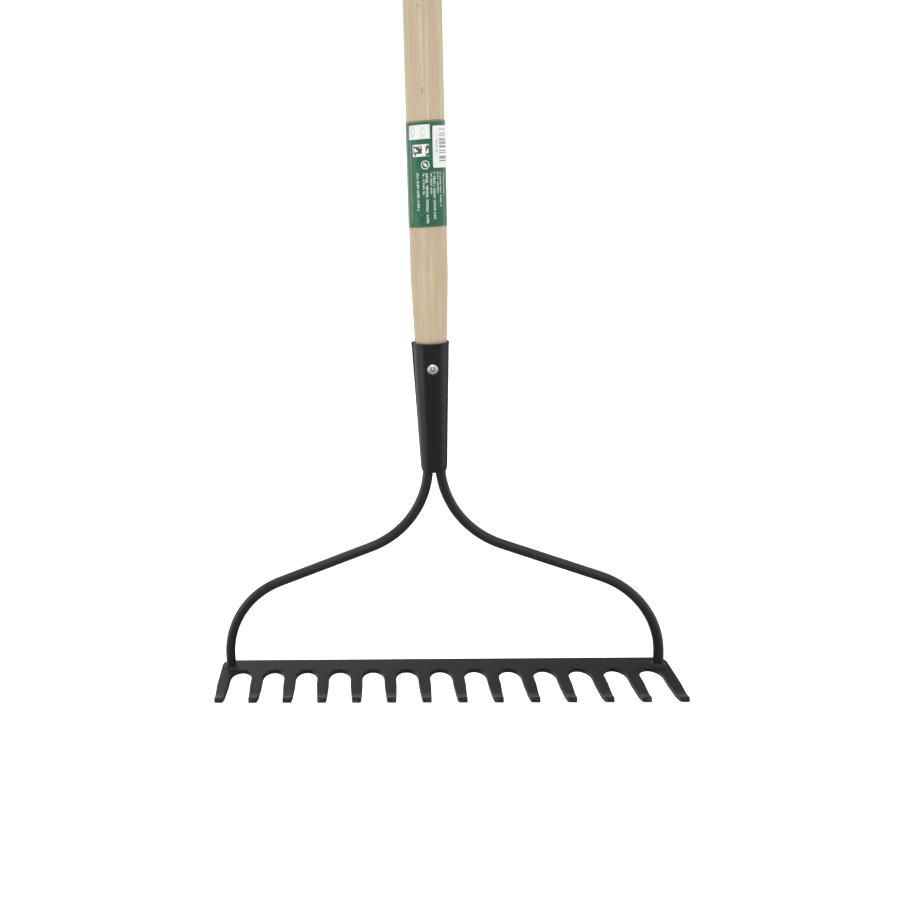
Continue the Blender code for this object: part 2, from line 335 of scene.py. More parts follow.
@dataclass(frozen=True)
class PowderCoat:
    """Black satin powder coat on steel: fine orange peel, faint dust and a few rubbed specks."""

    name: str
    colour: Colour = (0.0075, 0.0075, 0.0082)
    dusty: Colour = (0.060, 0.059, 0.058)
    bare: Colour = (0.11, 0.108, 0.105)
    roughness: float = 0.42
    drift_scale: float = 38.0
    dust_scale: float = 900.0
    wear_scale: float = 700.0
    grit_scale: float = 2600.0
    grit_depth: float = 0.02 * MM
    peel_scale: float = 620.0
    peel_depth: float = 0.10 * MM
    rubbed_beyond: Optional[float] = None
    rubbed_span: float = 3.0 * MM
    specular: float = 0.22

    def material(self) -> bpy.types.Material:
        """Makes the material.

        Returns:
            The coating.
        """
        bench = ShaderBench(self.name)
        drift = bench.cloud(self.drift_scale, 4.0, 1.7)
        peel = bench.cloud(self.peel_scale, 2.0, 4.1)
        grit = bench.cloud(self.grit_scale, 1.0, 8.3)
        dust = drift.step(0.45, 0.75) * bench.cloud(self.dust_scale, 3.0, 6.2).step(0.50, 0.72)
        colour = bench.blend(dust * 0.45, self.colour, self.dusty)
        specks = grit.step(0.70, 0.76) * 0.35
        if self.rubbed_beyond is not None:
            near_tip = bench.y.step(self.rubbed_beyond + self.rubbed_span, self.rubbed_beyond)
            specks = specks + near_tip * bench.cloud(self.wear_scale, 4.0, 2.9).step(0.56, 0.66)
        specks = specks.at_most(1.0)
        colour = bench.blend(specks, colour, self.bare)
        rough = self.roughness + (drift - 0.5) * 0.18 + dust * 0.12 + specks * 0.05
        normal = bench.relief(peel, self.peel_depth, 0.30)
        normal = bench.relief(grit, self.grit_depth, 0.25, normal)
        return bench.surface(
            Base_Color=colour, Roughness=rough, Normal=normal, Specular_IOR_Level=self.specular
        )


@dataclass(frozen=True)
class Grain:
    """Noise drawn out along the handle."""

    across: float
    along: float
    detail: float
    seed: float

    def on(self, bench: ShaderBench) -> Value:
        """The noise on a material's bench."""
        drawn_out = bench.stretched(self.across, self.across, self.along)
        return bench.cloud(1.0, self.detail, self.seed, drawn_out)


@dataclass(frozen=True)
class AshWood:
    """Pale sanded ash: drawn-out growth bands, open pores, warm streaks, dark flecks and painted shade that
    darkens the foot.
    """

    name: str = "pale_ash"
    early: Colour = (0.57, 0.465, 0.33)
    late: Colour = (0.445, 0.35, 0.235)
    pale: Colour = (0.67, 0.58, 0.455)
    rosy: Colour = (0.565, 0.425, 0.31)
    straw: Colour = (0.55, 0.455, 0.28)
    pore: Colour = (0.215, 0.15, 0.095)
    # Colour and heights (from, to) of the painted shade that darkens the handle towards its foot.
    painted_foot_shade: Colour = (0.36, 0.28, 0.13)
    painted_foot_shade_span: Point = (0.40, 0.29)
    sway: Grain = Grain(9.0, 1.1, 2.0, 0.6)
    patch: Grain = Grain(70.0, 9.0, 2.0, 4.4)
    fibre: Grain = Grain(900.0, 30.0, 3.0, 3.3)
    streak: Grain = Grain(330.0, 9.0, 2.0, 5.9)
    blush: Grain = Grain(240.0, 13.0, 2.0, 9.1)
    yellowing: Grain = Grain(290.0, 11.0, 2.0, 1.3)
    pores: Grain = Grain(1500.0, 70.0, 2.0, 7.4)
    flecks: Grain = Grain(520.0, 95.0, 1.0, 2.2)
    fibre_depth: float = 0.06 * MM
    pore_depth: float = 0.08 * MM

    def material(self) -> bpy.types.Material:
        """Makes the material.

        Returns:
            The wood.
        """
        bench = ShaderBench(self.name)
        sway = self.sway.on(bench) - 0.5
        rings = bench.make(
            "ShaderNodeTexWave",
            {"wave_type": "BANDS", "bands_direction": "X", "wave_profile": "SAW"},
            {
                "Vector": bench.stretched(1.0, 0.45, 0.05),
                "Scale": 74.0,
                "Distortion": 5.5,
                "Detail": 4.0,
                "Detail Scale": 2.4,
                "Phase Offset": sway * 9.0,
            },
            "Fac",
        )
        fibre = self.fibre.on(bench)
        stops = [(0.0, self.early), (0.55, self.early), (0.88, self.late), (1.0, self.early)]
        bands = bench.ramp(rings, stops)
        colour = bench.blend(self.patch.on(bench).step(0.38, 0.62) * 0.55 + 0.10, self.early, bands)
        colour = bench.blend(self.streak.on(bench).step(0.46, 0.64) * 0.70, colour, self.pale)
        colour = bench.blend(self.blush.on(bench).step(0.50, 0.64) * 0.72, colour, self.rosy)
        colour = bench.blend(self.yellowing.on(bench).step(0.50, 0.62) * 0.72, colour, self.straw)
        colour = bench.blend((fibre - 0.5) * 1.3 + 0.22, colour, self.late)
        # Painted shade: blends towards a darker brown below 0.40 m, fullest from 0.29 m down.
        colour = bench.blend(bench.z.step(*self.painted_foot_shade_span) * 0.28, colour, self.painted_foot_shade)
        open_pores = self.pores.on(bench).step(0.64, 0.74) * (0.35 + rings * 0.45)
        marks = open_pores.at_least(self.flecks.on(bench).step(0.735, 0.79) * 0.8)
        colour = bench.blend(marks, colour, self.pore)
        rough = 0.50 + (fibre - 0.5) * 0.25 + marks * 0.2
        normal = bench.relief(fibre, self.fibre_depth, 0.22)
        normal = bench.relief(1.0 - marks, self.pore_depth, 0.30, normal)
        return bench.surface(Base_Color=colour, Roughness=rough, Normal=normal, Specular_IOR_Level=0.35)


@dataclass(frozen=True)
class Wrap:
    """Distances on paper wrapped round the handle: round from the front, and down from its top."""

    bench: ShaderBench
    radius: float
    top: float

    def girth(self) -> Value:
        """Millimetres round from the front, rising towards +X."""
        turn = self.bench.math("ARCTAN2", self.bench.x, 0.0 - self.bench.y)
        return turn * (self.radius / MM)

    def drop(self) -> Value:
        """Millimetres down from the top edge."""
        return (self.top - self.bench.z) / MM


@dataclass(frozen=True)
class Panel:
    """A rectangle printed on the wrap, in millimetres."""

    left: float
    right: float
    top: float
    bottom: float

    def mask(self, girth: Value, drop: Value, inset: float = 0.0) -> Value:
        """One inside the rectangle.

        Args:
            girth: Distance round the handle.
            drop: Distance down from the top edge.
            inset: How far inside the edges the mask stays.

        Returns:
            The mask.
        """
        across = girth.between(self.left + inset, self.right - inset)
        return across * drop.between(self.top + inset, self.bottom - inset)


@dataclass(frozen=True)
class TextBar:
    """A line of stand-in dashes that runs down the label, with no letters in it."""

    at: float
    top: float
    bottom: float
    width: float


@dataclass(frozen=True)
class LabelPrint:
    """Green laminated paper with a plain white panel, random checks, a ring and rows of dashes."""

    radius: float
    top: float
    height: float
    seam: float
    name: str = "green_label_print"
    green: Colour = (0.024, 0.132, 0.068)
    deep: Colour = (0.011, 0.072, 0.036)
    white: Colour = (0.80, 0.82, 0.79)
    ink: Colour = (0.015, 0.016, 0.018)
    olive: Colour = (0.20, 0.22, 0.075)
    panel: Panel = Panel(-13.6, 2.0, 2.7, 12.1)
    checks: Panel = Panel(-10.4, 1.2, 15.5, 23.5)
    emblem: Point = (-1.6, 29.2)
    emblem_radius: float = 3.0
    wrinkles: Grain = Grain(120.0, 34.0, 2.0, 5.5)
    bars: tuple[TextBar, ...] = (
        TextBar(-7.0, 34.0, 59.8, 1.8),
        TextBar(-3.0, 34.6, 49.0, 1.3),
        TextBar(-0.8, 34.6, 68.2, 1.7),
        TextBar(2.1, 34.6, 48.7, 1.3),
        TextBar(4.3, 34.0, 66.1, 1.6),
        TextBar(6.9, 34.0, 49.5, 1.1),
        TextBar(9.1, 34.0, 57.4, 1.2),
        TextBar(12.4, 34.0, 49.8, 0.9),
    )

    def material(self) -> bpy.types.Material:
        """Makes the material.

        Returns:
            The printed label.
        """
        bench = ShaderBench(self.name)
        wrap = Wrap(bench, self.radius, self.top)
        girth, drop = wrap.girth(), wrap.drop()
        mottle = bench.cloud(160.0, 4.0, 1.9)
        grain = bench.cloud(1500.0, 2.0, 3.5)
        colour = bench.blend(mottle.step(0.35, 0.7) * 0.55, self.green, self.deep)
        colour = bench.blend(self._edges(drop), colour, self.olive)
        colour = bench.blend(self._fold(girth, drop), colour, self.white)
        colour = bench.blend(self._dashes(bench, girth, drop), colour, self.white)
        colour = self._white_panel(bench, girth, drop, colour)
        colour = self._check_square(bench, girth, drop, colour)
        colour = bench.blend(self._ring(bench, girth, drop), colour, self.white)
        scuff = bench.cloud(420.0, 4.0, 7.7).step(0.60, 0.74)
        colour = bench.blend(scuff * 0.10, colour, self.white)
        rough = 0.36 + scuff * 0.25 + (grain - 0.5) * 0.10
        normal = bench.relief(self.wrinkles.on(bench), 0.35 * MM, 0.20)
        normal = bench.relief(grain, 0.03 * MM, 0.25, normal)
        return bench.surface(Base_Color=colour, Roughness=rough, Normal=normal, Specular_IOR_Level=0.3)

    def _edges(self, drop: Value) -> Value:
        """The thin bands at the label's top and bottom edges."""
        return (drop < 1.0).at_least((drop > self.height / MM - 0.7) * 0.6)

    def _fold(self, girth: Value, drop: Value) -> Value:
        """The white margin that shows along the lap.

        Args:
            girth: Millimetres round from the front.
            drop: Millimetres down from the top edge.

        Returns:
            How much of the margin shows.
        """
        at = self.seam * self.radius / MM
        line = girth.between(at, at + 0.55) * drop.between(13.0, self.height / MM - 4.0)
        return line * 0.42

    def _dashes(self, bench: ShaderBench, girth: Value, drop: Value) -> Value:
        """Rows of ragged dashes with gaps between them.

        Args:
            bench: The material's bench.
            girth: Millimetres round from the front.
            drop: Millimetres down from the top edge.

        Returns:
            How much of the white dashes shows.
        """
        rows: Optional[Value] = None
        for number, bar in enumerate(self.bars):
            stroke = ((girth - bar.at) / (bar.width / 3.0)).floor()
            speck = bench.chance((drop / 0.34).floor(), stroke + number * 9.0 + 0.25)
            space = drop / 1.05 + 0.3 * number
            word = drop / (6.4 + 1.7 * (number % 3)) + 0.4 * number
            row = (abs(girth - bar.at) < bar.width / 2) * drop.between(bar.top, bar.bottom) * (speck > 0.34)
            row = row * (space - space.floor() > 0.16) * (word - word.floor() > 0.13)
            rows = row if rows is None else rows.at_least(row)
        return rows * 0.74

    def _white_panel(self, bench: ShaderBench, girth: Value, drop: Value, below: Value) -> Value:
        """A white panel with two faint blots in a thin frame.

        Args:
            bench: The material's bench.
            girth: Millimetres round from the front.
            drop: Millimetres down from the top edge.
            below: The colour that it is printed on.

        Returns:
            The colour with the panel.
        """
        colour = bench.blend(self.panel.mask(girth, drop), below, self.white)
        frame = self.panel.mask(girth, drop, 0.55) * (1.0 - self.panel.mask(girth, drop, 0.85))
        colour = bench.blend(frame * 0.35, colour, (0.35, 0.42, 0.37))
        for across, down, wide, tall in ((-10.0, 7.2, 1.9, 2.9), (-3.0, 7.6, 1.5, 3.1)):
            dx = (girth - across) / wide
            dy = (drop - down) / tall
            outline = abs(dx * dx + dy * dy + (bench.cloud(520.0, 2.0, across) - 0.5) * 1.6 - 0.8)
            colour = bench.blend(outline.step(0.50, 0.15) * 0.42, colour, (0.40, 0.30, 0.31))
        return colour

    def _check_square(self, bench: ShaderBench, girth: Value, drop: Value, below: Value) -> Value:
        """A white square of random black checks beside two thin columns.

        Args:
            bench: The material's bench.
            girth: Millimetres round from the front.
            drop: Millimetres down from the top edge.
            below: The colour that it is printed on.

        Returns:
            The colour with the checks.
        """
        square = self.checks
        colour = bench.blend(square.mask(girth, drop), below, self.white)
        inner = Panel(square.left + 0.5, square.left + 6.8, square.top + 0.6, square.bottom - 0.6)
        cell = bench.chance(((girth + 40.0) / 1.15).floor(), (drop / 1.2).floor() + 7.0)
        colour = bench.blend(inner.mask(girth, drop) * (cell > 0.44) * 0.92, colour, self.ink)
        column = Panel(square.right - 2.3, square.right, square.top + 0.3, square.bottom - 0.2)
        cell = bench.chance(((girth + 40.0) / 0.8).floor(), ((drop + 20.0) / 1.6).floor())
        return bench.blend(column.mask(girth, drop) * (cell > 0.24) * 0.9, colour, self.ink)

    def _ring(self, bench: ShaderBench, girth: Value, drop: Value) -> Value:
        """A round mark: a ring with a slanting oval in it.

        Args:
            bench: The material's bench.
            girth: Millimetres round from the front.
            drop: Millimetres down from the top edge.

        Returns:
            How much of the white mark shows.
        """
        dx = girth - self.emblem[0]
        dy = drop - self.emblem[1]
        distance = bench.math("SQRT", dx * dx + dy * dy)
        ring = distance.step(self.emblem_radius, self.emblem_radius - 0.15)
        ring = ring * distance.step(self.emblem_radius - 0.75, self.emblem_radius - 0.6)
        slant = dx * 0.7 + dy * 0.7
        across = dx * 0.7 - dy * 0.7
        oval = (slant * slant / 3.2 + across * across / 0.8).step(1.15, 0.85)
        return ring.at_least(oval) * 0.85


@dataclass(frozen=True)
class StickerPrint:
    """White paper with a block of random bars across the handle and a column of small dashes."""

    radius: float
    top: float
    height: float
    left: float
    right: float
    name: str = "barred_sticker_print"
    paper: Colour = (0.80, 0.80, 0.80)
    ink: Colour = (0.045, 0.045, 0.055)

    def material(self) -> bpy.types.Material:
        """Makes the material.

        Returns:
            The printed sticker.
        """
        bench = ShaderBench(self.name)
        wrap = Wrap(bench, self.radius, self.top)
        girth, drop = wrap.girth(), wrap.drop()
        tall = self.height / MM
        start = self.left * self.radius / MM
        end = self.right * self.radius / MM
        block = Panel(start + 4.9, end - 1.2, 2.0, tall - 2.6)
        bar = bench.chance((drop / 0.38).floor(), 3.5)
        wide = bench.chance((drop / 0.95).floor(), 9.5)
        bars = ((bar > 0.46) * (wide > 0.14)).at_least(wide > 0.90)
        colour = bench.blend(block.mask(girth, drop) * bars * 0.85, self.paper, self.ink)
        column = Panel(start + 2.3, start + 3.3, 8.4, tall - 8.0)
        dash = bench.chance((drop / 0.9).floor(), (girth / 0.5).floor())
        colour = bench.blend(column.mask(girth, drop) * (dash > 0.42) * 0.7, colour, self.ink)
        fibre = bench.cloud(1400.0, 3.0, 2.1)
        colour = bench.blend((fibre - 0.5) * 0.3 + 0.05, colour, (0.70, 0.69, 0.66))
        rough = 0.48 + (fibre - 0.5) * 0.2
        normal = bench.relief(fibre, 0.04 * MM, 0.25)
        return bench.surface(Base_Color=colour, Roughness=rough, Normal=normal, Specular_IOR_Level=0.4)


@dataclass(frozen=True)
class BareMetal:
    """Bright metal with fine scratches and dull, darker patches."""

    name: str
    colour: Colour
    stained: Colour
    roughness: float

    def material(self) -> bpy.types.Material:
        """Makes the material.

        Returns:
            The metal.
        """
        bench = ShaderBench(self.name)
        stain = bench.cloud(520.0, 3.0, 2.4).step(0.42, 0.75)
        scratch = bench.cloud(1.0, 2.0, 6.8, bench.stretched(600.0, 600.0, 6000.0))
        colour = bench.blend(stain * 0.7, self.colour, self.stained)
        rough = self.roughness + stain * 0.18 + (scratch - 0.5) * 0.2
        normal = bench.relief(scratch, 0.02 * MM, 0.3)
        return bench.surface(Base_Color=colour, Roughness=rough, Normal=normal, Metallic=1.0)


# Mesh work ---------------------------------------------------------------------------------------


def arc(
    centre: Point, radius: float, start: float, end: float, steps: int, stretch: float = 1.0
) -> list[Point]:
    """Points along an arc, both ends included.

    Args:
        centre: The arc's centre.
        radius: Its radius.
        start: The first point's angle.
        end: The last point's angle.
        steps: How many chords it has.
        stretch: Scales its second axis.

    Returns:
        The points.
    """
    angles = (start + (end - start) * i / steps for i in range(steps + 1))
    return [(centre[0] + radius * math.cos(a), centre[1] + radius * stretch * math.sin(a)) for a in angles]


def ease(value: float, low: float, high: float) -> float:
    """Rises smoothly from zero at low to one at high."""
    share = min(1.0, max(0.0, (value - low) / (high - low)))
    return share * share * (3.0 - 2.0 * share)


def new_object(name: str, data: Any) -> bpy.types.Object:
    """Adds an object to the scene.

    Args:
        name: Its name.
        data: Its mesh, curve, light or camera.

    Returns:
        The object.
    """
    made = bpy.data.objects.new(name, data)
    bpy.context.scene.collection.objects.link(made)
    return made


def mesh_from(name: str, fill: Callable[[bmesh.types.BMesh], None]) -> bpy.types.Mesh:
    """Makes a mesh from a function that fills a BMesh.

    Args:
        name: The mesh's name.
        fill: Adds the vertices and faces.

    Returns:
        The mesh.
    """
    work = bmesh.new()
    fill(work)
    mesh = bpy.data.meshes.new(name)
    work.to_mesh(mesh)
    work.free()
    return mesh


def reworked(mesh: bpy.types.Mesh, change: Callable[[bmesh.types.BMesh], None]) -> None:
    """Welds a mesh's loose points, changes it and turns its normals outwards.

    Args:
        mesh: The mesh.
        change: What is done to it in between.
    """
    work = bmesh.new()
    work.from_mesh(mesh)
    bmesh.ops.remove_doubles(work, verts=work.verts[:], dist=WELD_DISTANCE)
    change(work)
    bmesh.ops.recalc_face_normals(work, faces=work.faces[:])
    work.to_mesh(mesh)
    work.free()


def rolled_sheet(
    name: str, rows: int, columns: int, place: Callable[[float, float], tuple[float, float, float]]
) -> bpy.types.Object:
    """Makes an open sheet that is rolled round Z.

    Args:
        name: The object's name.
        rows: Faces from its bottom to its top.
        columns: Faces along each row.
        place: Takes the shares of the way up and along, and returns an angle, a radius and z.

    Returns:
        The sheet.
    """

    def fill(work: bmesh.types.BMesh) -> None:
        """Adds the grid of points and its faces.

        Args:
            work: The empty BMesh.
        """
        lines = []
        for row in range(rows + 1):
            line = []
            for column in range(columns + 1):
                angle, radius, z = place(row / rows, column / columns)
                line.append(work.verts.new((radius * math.cos(angle), radius * math.sin(angle), z)))
            lines.append(line)
        for lower, upper in zip(lines, lines[1:]):
            for column in range(columns):
                work.faces.new((lower[column], lower[column + 1], upper[column + 1], upper[column]))

    return new_object(name, mesh_from(name, fill))


def thicken(sheet: bpy.types.Object, thickness: float, side: float) -> None:
    """Gives an open sheet its thickness.

    Args:
        sheet: The sheet.
        thickness: Its thickness.
        side: 1 to grow outwards, -1 to grow inwards.
    """
    wall = sheet.modifiers.new("wall", "SOLIDIFY")
    wall.thickness = thickness
    wall.offset = side


def settle(source: bpy.types.Object, name: str) -> bpy.types.Object:
    """Turns an object with modifiers, or a curve, into a plain mesh object at the origin.

    Args:
        source: The object, which is removed.
        name: The new object's name.

    Returns:
        The plain object.
    """
    bpy.context.view_layer.update()
    evaluated = source.evaluated_get(bpy.context.evaluated_depsgraph_get())
    mesh = bpy.data.meshes.new_from_object(evaluated)
    mesh.transform(source.matrix_world)
    bpy.data.objects.remove(source)
    mesh.name = name
    return new_object(name, mesh)


def round_edges(piece: bpy.types.Object, width: float, segments: int, angle: float) -> None:
    """Adds a Bevel and weighted normals to a piece.

    Args:
        piece: The object.
        width: The bevel's width.
        segments: Its segments.
        angle: The least angle between faces that is rounded.
    """
    bevel = piece.modifiers.new("edges", "BEVEL")
    bevel.width = width
    bevel.segments = segments
    bevel.limit_method = "ANGLE"
    bevel.angle_limit = angle
    piece.modifiers.new("normals", "WEIGHTED_NORMAL").keep_sharp = True


def lathe(
    name: str, profile: Sequence[Point], steps: int, warp: Optional[Warp] = None
) -> bpy.types.Mesh:
    """Turns a profile round Z. A point on the axis closes the end.

    Args:
        name: The mesh's name.
        profile: (radius, z) points from the top, down the outer side.
        steps: Points round the axis.
        warp: Takes angle, radius and z, and returns a new radius and z.

    Returns:
        The mesh.
    """

    def fill(work: bmesh.types.BMesh) -> None:
        """Adds a ring for each point of the profile, and the faces between them.

        Args:
            work: The empty BMesh.
        """
        rings = []
        for radius, z in profile:
            if radius < 1e-7:
                rings.append([work.verts.new((0.0, 0.0, z))])
                continue
            ring = []
            for step in range(steps):
                angle = math.tau * step / steps
                r, h = (radius, z) if warp is None else warp(angle, radius, z)
                ring.append(work.verts.new((r * math.cos(angle), r * math.sin(angle), h)))
            rings.append(ring)
        closed = len(rings[0]) > 1 and len(rings[-1]) > 1
        pairs = list(zip(rings, rings[1:]))
        if closed:
            pairs.append((rings[-1], rings[0]))
        for upper, lower in pairs:
            for step in range(steps):
                after = (step + 1) % steps
                corners = [upper[step % len(upper)], lower[step % len(lower)]]
                corners += [lower[after % len(lower)], upper[after % len(upper)]]
                distinct = list(dict.fromkeys(corners))
                if len(distinct) > 2:
                    work.faces.new(distinct)
        bmesh.ops.recalc_face_normals(work, faces=work.faces[:])

    return mesh_from(name, fill)


def smoothed(mesh: bpy.types.Mesh, angle: float = math.radians(35)) -> bpy.types.Mesh:
    """Shades a mesh smooth but for edges sharper than an angle.

    Args:
        mesh: The mesh.
        angle: The least angle that stays sharp.

    Returns:
        The same mesh.
    """
    mesh.shade_smooth()
    mesh.set_sharp_from_angle(angle=angle)
    return mesh


def finish_piece(piece: bpy.types.Object, material: bpy.types.Material, node: str) -> None:
    """Dresses a piece and ties it to the frame.

    Args:
        piece: The finished object.
        material: Its material.
        node: The CAD node that it replaces.
    """
    piece.data.materials.clear()
    piece.data.materials.append(material)
    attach(piece, BODY)
    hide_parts(node)
    piece.data.calc_loop_triangles()
    log.info("%s: %d triangles", piece.name, len(piece.data.loop_triangles))


# Tine head ---------------------------------------------------------------------------------------


@dataclass
class TineHead:
    """The stamped bar with its row of tines, curled up at their ends."""

    tines: int = 14
    pitch: float = 25.4 * MM
    root_width: float = 9.0 * MM
    tip_width: float = 6.6 * MM
    gap_depth: float = 12.0 * MM
    taper_start: float = -28.0 * MM
    curl_length: float = 12.5 * MM
    curl_angle: float = math.radians(22)
    thickness: float = 3.8 * MM
    bar_front: float = -5.0 * MM
    corner: float = 7.5 * MM
    tip_corner: float = 1.6 * MM
    edge: float = 0.55 * MM
    bands: int = 22
    node: str = "tine_head"
    tip: float = field(init=False)
    back: float = field(init=False)

    def __post_init__(self) -> None:
        """Takes the head's back edge from the frame and the flat length from the curl."""
        low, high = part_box(self.node)
        self.back = high.y
        radius_share = math.sin(self.curl_angle) / self.curl_angle
        rise = self.thickness / 2 * math.sin(self.curl_angle)
        flat_to_curled = self.curl_length * (1.0 - radius_share)
        self.tip = low.y - flat_to_curled + rise

    def outline(self) -> list[Point]:
        """Counter-clockwise outline of the unbent plate, seen from above.

        Returns:
            The points of the outline.
        """
        half = self.root_width / 2
        first = -self.pitch * (self.tines - 1) / 2
        left = first - half
        gap_radius = self.pitch / 2 - half
        gap_stretch = self.gap_depth / gap_radius
        gap_end = self.bar_front - self.gap_depth
        back = self.back - self.corner
        points = arc((left + self.corner, back), self.corner, 0.5 * math.pi, math.pi, 16)
        for index in range(self.tines):
            x = first + index * self.pitch
            points.append((x - half, self.taper_start))
            points.extend(self._tip(x))
            points.append((x + half, self.taper_start))
            if index < self.tines - 1:
                middle = (x + self.pitch / 2, gap_end)
                points.extend(arc(middle, gap_radius, math.pi, 0.0, 32, gap_stretch))
        points.extend(arc((-left - self.corner, back), self.corner, 0.0, 0.5 * math.pi, 16))
        return points

    def _tip(self, x: float) -> list[Point]:
        """The end of one tine, from its left side to its right.

        Args:
            x: The tine's middle.

        Returns:
            The points of its end.
        """
        inner = self.tip_width / 2 - self.tip_corner
        base = self.tip + self.tip_corner
        left = arc((x - inner, base), self.tip_corner, math.pi, 1.5 * math.pi, 8)
        right = arc((x + inner, base), self.tip_corner, 1.5 * math.pi, math.tau, 8)
        return left + right

    def _curl(self, point: Vector) -> Vector:
        """Rolls the tines' ends up round an axis above them.

        Args:
            point: A point of the unbent plate.

        Returns:
            Where it lies once the tips are curled.
        """
        start = self.tip + self.curl_length
        reach = start - point.y
        if reach <= 0.0:
            return point
        radius = self.curl_length / self.curl_angle
        angle = reach / radius
        height = point.z - self.thickness / 2
        y = start - (radius - height) * math.sin(angle)
        z = self.thickness / 2 + radius - (radius - height) * math.cos(angle)
        return Vector((point.x, y, z))

    def _flat_plate(self) -> bpy.types.Object:
        """The unbent plate with rounded edges, as a plain mesh.

        Returns:
            The plate.
        """
        curve = bpy.data.curves.new("head_blank", "CURVE")
        curve.dimensions = "2D"
        curve.fill_mode = "BOTH"
        curve.extrude = self.thickness / 2 - self.edge
        curve.bevel_depth = self.edge
        curve.bevel_resolution = 2
        curve.offset = -self.edge
        points = self.outline()
        spline = curve.splines.new("POLY")
        spline.points.add(len(points) - 1)
        for slot, (x, y) in zip(spline.points, points):
            slot.co = (x, y, 0.0, 1.0)
        spline.use_cyclic_u = True
        blank = new_object("head_blank", curve)
        blank.location.z = self.thickness / 2
        return settle(blank, self.node)

    def _bend(self, work: bmesh.types.BMesh) -> None:
        """Cuts the flat plate into bands across its tips and curls them.

        Args:
            work: The plate's BMesh.
        """
        bmesh.ops.dissolve_limit(work, angle_limit=1e-4, verts=work.verts[:], edges=work.edges[:])
        for band in range(self.bands):
            y = self.tip + self.curl_length * (1.0 - band / self.bands)
            every = work.verts[:] + work.edges[:] + work.faces[:]
            bmesh.ops.bisect_plane(work, geom=every, plane_co=(0.0, y, 0.0), plane_no=(0.0, 1.0, 0.0))
        for vertex in work.verts:
            vertex.co = self._curl(vertex.co)
        bmesh.ops.triangulate(work, faces=[f for f in work.faces if len(f.verts) > 4])

    def build(self, coat: PowderCoat) -> None:
        """Makes the head.

        Args:
            coat: Its powder coat.
        """
        head = self._flat_plate()
        reworked(head.data, self._bend)
        smoothed(head.data, math.radians(50))
        head.modifiers.new("normals", "WEIGHTED_NORMAL").keep_sharp = True
        head = settle(head, "stamped_tine_head")
        finish_piece(head, coat.material(), self.node)


# Bow ---------------------------------------------------------------------------------------------


class RodTree:
    """Geometry Nodes that round the corners of a bent line and sweep a section along it."""

    def __init__(self, name: str) -> None:
        """Builds the tree.

        Args:
            name: The tree's name.
        """
        self.tree = bpy.data.node_groups.new(name, "GeometryNodeTree")
        bench = Bench(self.tree)
        self.sockets: dict[str, str] = {}
        self._input("Route", "NodeSocketGeometry")
        self._input("Section Radius", "NodeSocketFloat")
        self._input("Section Sides", "NodeSocketInt")
        self._input("Bend Steps", "NodeSocketInt")
        self._input("Piece Length", "NodeSocketFloat")
        self._input("Material", "NodeSocketMaterial")
        self.tree.interface.new_socket("Geometry", in_out="OUTPUT", socket_type="NodeSocketGeometry")
        given = bench.node("NodeGroupInput", {}, {}).outputs
        line = bench.make("GeometryNodeMeshToCurve", {}, {"Mesh": given["Route"]})
        bend = bench.node(
            "GeometryNodeInputNamedAttribute", {"data_type": "FLOAT"}, {"Name": "bend_radius"}
        )
        rounded = bench.make(
            "GeometryNodeFilletCurve",
            {"mode": "POLY"},
            {"Curve": line, "Count": given["Bend Steps"], "Radius": bend.outputs["Attribute"]},
        )
        even = bench.make(
            "GeometryNodeResampleCurve",
            {"mode": "LENGTH"},
            {"Curve": rounded, "Length": given["Piece Length"]},
        )
        section = bench.make(
            "GeometryNodeCurvePrimitiveCircle",
            {"mode": "RADIUS"},
            {"Resolution": given["Section Sides"], "Radius": given["Section Radius"]},
        )
        swept = bench.make(
            "GeometryNodeCurveToMesh", {}, {"Curve": even, "Profile Curve": section, "Fill Caps": True}
        )
        whole = bench.make("GeometryNodeRealizeInstances", {}, {"Geometry": swept})
        coated = bench.make(
            "GeometryNodeSetMaterial", {}, {"Geometry": whole, "Material": given["Material"]}
        )
        bench.node("NodeGroupOutput", {}, {"Geometry": coated})

    def _input(self, name: str, kind: str) -> None:
        """Adds a named input and notes its identifier."""
        socket = self.tree.interface.new_socket(name, in_out="INPUT", socket_type=kind)
        self.sockets[name] = socket.identifier

    def apply(self, target: bpy.types.Object, values: dict[str, Any], name: str) -> bpy.types.Object:
        """Runs the tree on an object and keeps the result as a plain mesh.

        Args:
            target: The object that carries the line.
            values: The inputs' values by name.
            name: The finished object's name.

        Returns:
            The plain object.
        """
        modifier = target.modifiers.new("sweep", "NODES")
        modifier.node_group = self.tree
        for key, value in values.items():
            modifier[self.sockets[key]] = value
        return settle(target, name)


